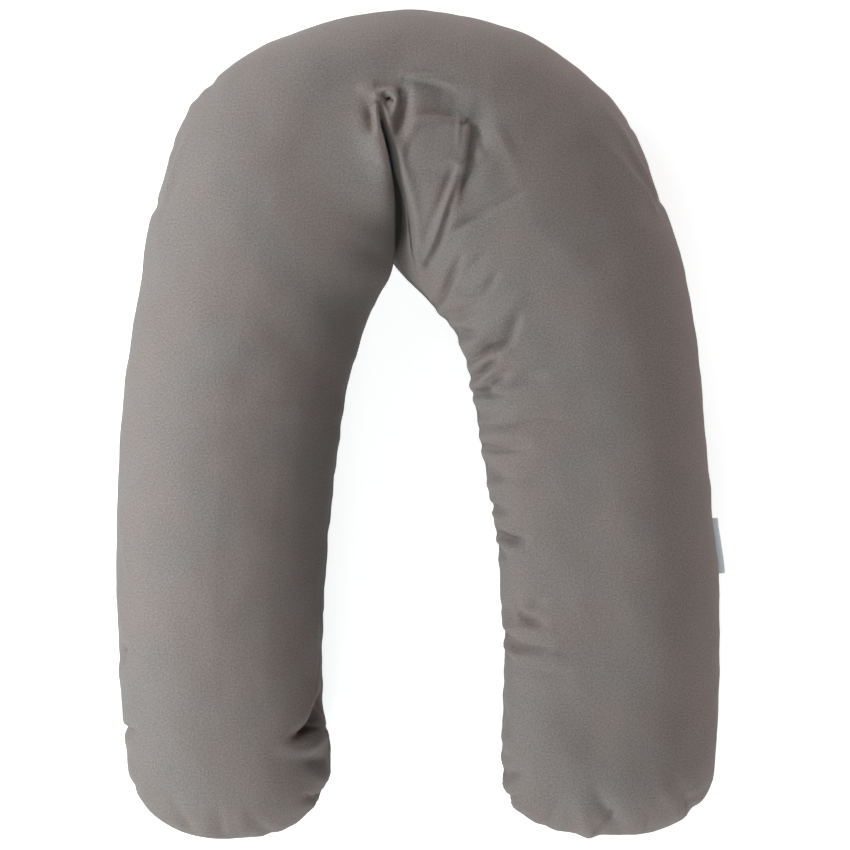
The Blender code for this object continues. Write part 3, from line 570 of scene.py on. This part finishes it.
def label_section():
    """Outline of the folded ribbon seen along the seam: out on top, round the fold, back below, inside."""
    at = np.linspace(0, len(LABEL_PROFILE) - 1, LAYER_POINTS)
    middle = along(LABEL_PROFILE, at)
    onward = np.gradient(middle, axis=0)
    across = np.stack([-onward[:, 1], onward[:, 0]], 1) / np.linalg.norm(onward, axis=1)[:, None]
    outer_side, inner_side = LAYER_GAP / 2 + RIBBON, LAYER_GAP / 2
    turn = np.linspace(np.pi / 2, -np.pi / 2, FOLD_POINTS)[1:-1]
    tip_across, tip_on = across[-1], np.array((across[-1][1], -across[-1][0]))
    outer_fold = [middle[-1] + outer_side * (np.sin(t) * tip_across + np.cos(t) * tip_on) for t in turn]
    inner_fold = [middle[-1] + inner_side * (np.sin(t) * tip_across + np.cos(t) * tip_on) for t in turn[::-1]]
    return np.concatenate([
        middle + across * outer_side,
        outer_fold,
        (middle - across * outer_side)[::-1],
        middle - across * inner_side,
        inner_fold,
        (middle + across * inner_side)[::-1],
    ])


def make_label(grid, material):
    """The folded ribbon, swept along the right leg's outer seam."""
    seam = grid[len(grid) // 2 : -END_STEPS, 0][::-1]
    places = LABEL_MIDDLE_Y + np.linspace(-LABEL_LENGTH / 2, LABEL_LENGTH / 2, LABEL_STEPS + 1)
    root_x = np.interp(places, seam[:, 1], seam[:, 0]) + LABEL_SEAT
    root_z = np.interp(places, seam[:, 1], seam[:, 2])
    section = label_section()
    bm = bmesh.new()
    loops = []
    for x, y, z in zip(root_x, places, root_z):
        points = [np.array((x + out, y, z + up)) for out, up in section]
        loops.append([bm.verts.new((point - CENTRE) * MM) for point in points])
    count = len(section)
    for a, b in zip(loops, loops[1:]):
        for k in range(count):
            bm.faces.new((a[k], b[k], b[(k + 1) % count], a[(k + 1) % count]))
    bm.faces.new(loops[0])
    bm.faces.new(loops[-1][::-1])
    bmesh.ops.recalc_face_normals(bm, faces=bm.faces)
    return add_mesh("folded_label", bm, material)


# ---- materials ---------------------------------------------------------------------------------------------
COVER_ROUGHNESS = 0.72
COVER_SHEEN = 0.12
COVER_SHEEN_ROUGHNESS = 0.5
COVER_GLOSS = 0.25
COOL_DARK = (0.042, 0.038, 0.035, 1)  # the cover's darkest and palest yarns where it is greyer
COOL_PALE = (0.4, 0.37, 0.345, 1)
WARM_DARK = (0.053, 0.038, 0.035, 1)  # and where it is redder
WARM_PALE = (0.498, 0.368, 0.333, 1)
HUE_PATCH = 0.07  # size of a patch that is greyer or redder, in metres
YARN_PATCH = 0.0017  # and of a patch of yarns of one tone
MOTTLE_PATCH = 0.06  # and of the faint mottling
MOTTLE_SHARE = 0.12  # share of the tone that is mottling
TWILL_PITCH = 0.0011  # from rib to rib
TWILL_RELIEF = 0.0001  # height of the weave
TWILL_YARNS = 0.6  # share of the relief that follows the yarns, the rest is the ribs
RIBBON_ROUGHNESS = 0.6
RIBBON_DARK = (0.56, 0.67, 0.73, 1)
RIBBON_PALE = (0.78, 0.88, 0.93, 1)
RIBBON_PITCH = 0.0006
RIBBON_RELIEF = 0.00008
WAVE = np.pi / 10  # scale of a Wave texture whose bands are one unit apart


def new_material(name, roughness):
    """A material, its node tree and its shader."""
    material = bpy.data.materials.new(name)
    material.use_nodes = True
    shader = material.node_tree.nodes["Principled BSDF"]
    shader.inputs["Roughness"].default_value = roughness
    return material, material.node_tree, shader


def add_texture(tree, kind, where, inputs, **settings):
    """The grey output of a texture that is read at the positions in where."""
    node = tree.nodes.new(kind)
    for name, value in settings.items():
        setattr(node, name, value)
    for name, value in inputs.items():
        node.inputs[name].default_value = value
    tree.links.new(where, node.inputs["Vector"])
    return node.outputs["Fac"]


def add_noise(tree, where, patch, detail, roughness=0.5):
    """Noise whose patches are about this large, in metres."""
    return add_texture(
        tree, "ShaderNodeTexNoise", where, {"Scale": 1 / patch, "Detail": detail, "Roughness": roughness}
    )


MIX_SOCKETS = {"FLOAT": (2, 3, 0), "RGBA": (6, 7, 2)}  # a Mix node's two inputs and its output for each kind


def mix(tree, kind, factor, first, second):
    """A mix of two values, each of them fixed or read from a socket."""
    node = tree.nodes.new("ShaderNodeMix")
    node.data_type = kind
    first_input, second_input, output = MIX_SOCKETS[kind]
    for place, value in ((0, factor), (first_input, first), (second_input, second)):
        if isinstance(value, bpy.types.NodeSocket):
            tree.links.new(value, node.inputs[place])
        else:
            node.inputs[place].default_value = value
    return node.outputs[output]


def relief(tree, height, distance, shader):
    """Bumps that stand this far out, in metres."""
    bump = tree.nodes.new("ShaderNodeBump")
    bump.inputs["Distance"].default_value = distance
    tree.links.new(height, bump.inputs["Height"])
    tree.links.new(bump.outputs["Normal"], shader.inputs["Normal"])


def cover_material():
    """Fine cotton twill: yarns that differ in tone and hue, diagonal ribs and faint broad mottling."""
    material, tree, shader = new_material("taupe_cotton", COVER_ROUGHNESS)
    shader.inputs["Sheen Weight"].default_value = COVER_SHEEN
    shader.inputs["Sheen Roughness"].default_value = COVER_SHEEN_ROUGHNESS
    shader.inputs["Specular IOR Level"].default_value = COVER_GLOSS
    cloth = tree.nodes.new("ShaderNodeUVMap")
    cloth.uv_map = CLOTH_MAP
    where = cloth.outputs["UV"]
    yarns = add_noise(tree, where, YARN_PATCH, 3.0, 0.7)
    mottling = add_noise(tree, where, MOTTLE_PATCH, 4.0, 0.6)
    hue = add_noise(tree, where, HUE_PATCH, 3.0)
    ribs = add_texture(
        tree, "ShaderNodeTexWave", where,
        {"Scale": WAVE / TWILL_PITCH, "Distortion": 1.5, "Detail": 1.0, "Detail Scale": 2.0},
        bands_direction="DIAGONAL",
    )
    tone = mix(tree, "FLOAT", MOTTLE_SHARE, yarns, mottling)
    cool = mix(tree, "RGBA", tone, COOL_DARK, COOL_PALE)
    warm = mix(tree, "RGBA", tone, WARM_DARK, WARM_PALE)
    tree.links.new(mix(tree, "RGBA", hue, cool, warm), shader.inputs["Base Color"])
    relief(tree, mix(tree, "FLOAT", TWILL_YARNS, ribs, yarns), TWILL_RELIEF, shader)
    return material


def ribbon_material():
    """A close-woven ribbon, left blank, with fine ribs along its length."""
    material, tree, shader = new_material("label_ribbon", RIBBON_ROUGHNESS)
    ribbon = tree.nodes.new("ShaderNodeTexCoord").outputs["Object"]
    yarns = add_noise(tree, ribbon, RIBBON_PITCH, 2.0)
    ribs = add_texture(
        tree, "ShaderNodeTexWave", ribbon,
        {"Scale": WAVE / RIBBON_PITCH, "Distortion": 0.4},
        bands_direction="Y",
    )
    tree.links.new(mix(tree, "RGBA", yarns, RIBBON_DARK, RIBBON_PALE), shader.inputs["Base Color"])
    relief(tree, ribs, RIBBON_RELIEF, shader)
    return material


# ---- studio ------------------------------------------------------------------------------------------------
FLOOR_SIZE = 40.0
FLOOR_DROP = 0.0002  # below the flat underside, so that the two faces stay apart
FLOOR_ROUGHNESS = 0.9
PAPER = (0.9, 0.9, 0.9, 1)
WHITE = (1, 1, 1, 1)
GLOW = 0.75  # keeps the paper white where the cushion shades it, and the backdrop as pale

COOL = (0.89, 1.0, 1.04)
PLAIN = (1.0, 1.0, 1.0)
GREENISH = (0.91, 1.0, 1.02)
WARM = (1.08, 1.0, 0.98)
LIGHTS_AIM = (0, 0, 0.08)  # the middle of the cushion
Light = namedtuple("Light", "name place size watts colour")
LIGHTS = (
    Light("key", (-1.0, 0.0, 0.75), 0.3, 6.5, COOL),
    Light("key_from_above", (-1.1, 0.9, 0.7), 0.5, 6.3, COOL),
    Light("key_from_below", (-1.1, -0.9, 0.7), 0.5, 4.6, COOL),
    Light("high_key", (-0.7, 0.9, 1.3), 0.5, 2.6, COOL),
    Light("low_key", (-2.2, 0.0, 0.2), 0.35, 7.9, COOL),
    Light("fill_from_below", (0.0, -1.8, 1.2), 1.2, 23.2, GREENISH),
    Light("top", (0.0, 2.0, 0.5), 1.0, 14.8, PLAIN),
    Light("rim", (2.2, 0.0, 0.2), 0.35, 8.1, WARM),
    Light("rim_from_below", (1.6, -1.6, 0.2), 0.35, 4.9, WARM),
    Light("rim_from_above", (1.6, 1.6, 0.2), 0.35, 8.7, WARM),
)

VIEW_WIDTH = 782.0  # what the picture takes in at the height of the seam
VIEW_CENTRE = (6.4, -0.9)  # in the axes of the tables
VIEW_DISTANCE = 2200.0  # straight above the seam
VIEW_LEVEL = 70.0  # height of the seam


def make_floor():
    bpy.ops.mesh.primitive_plane_add(size=FLOOR_SIZE, location=(0, 0, -FLOOR_DROP))
    floor = bpy.context.object
    floor.name = "floor"
    material, _, shader = new_material("floor_paper", FLOOR_ROUGHNESS)
    shader.inputs["Base Color"].default_value = PAPER
    shader.inputs["Emission Color"].default_value = WHITE
    shader.inputs["Emission Strength"].default_value = GLOW
    floor.data.materials.append(material)
    floor.visible_diffuse = False


def make_lights():
    for row in LIGHTS:
        light = bpy.data.lights.new(row.name, "AREA")
        light.color = row.colour
        light.size = row.size
        light.energy = row.watts
        lamp = bpy.data.objects.new(row.name, light)
        lamp.location = row.place
        lamp.rotation_euler = (Vector(LIGHTS_AIM) - Vector(row.place)).to_track_quat("-Z", "Y").to_euler()
        bpy.context.scene.collection.objects.link(lamp)


def make_backdrop():
    """A pale backdrop that only the camera sees, so that it doesn't light the cushion."""
    world = bpy.data.worlds.new("studio")
    world.use_nodes = True
    backdrop = world.node_tree.nodes["Background"]
    backdrop.inputs["Color"].default_value = WHITE
    backdrop.inputs["Strength"].default_value = GLOW
    world.cycles_visibility.diffuse = False
    world.cycles_visibility.glossy = False
    bpy.context.scene.world = world


def make_camera():
    camera = bpy.data.cameras.new("camera")
    camera.lens = camera.sensor_width * VIEW_DISTANCE / VIEW_WIDTH
    eye = bpy.data.objects.new("camera", camera)
    place = (*VIEW_CENTRE, VIEW_LEVEL + VIEW_DISTANCE)
    eye.location = [(value - middle) * MM for value, middle in zip(place, CENTRE)]
    bpy.context.scene.collection.objects.link(eye)
    bpy.context.scene.camera = eye
    bpy.context.scene.view_settings.view_transform = "Standard"


def main():
    make_camera()
    make_lights()
    make_backdrop()
    make_floor()
    grid = cushion_grid()
    cushion = make_cushion(grid, cover_material())
    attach(cushion, "root")
    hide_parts("pillow")
    label = make_label(grid, ribbon_material())
    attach(label, "root")
    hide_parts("label")


main()
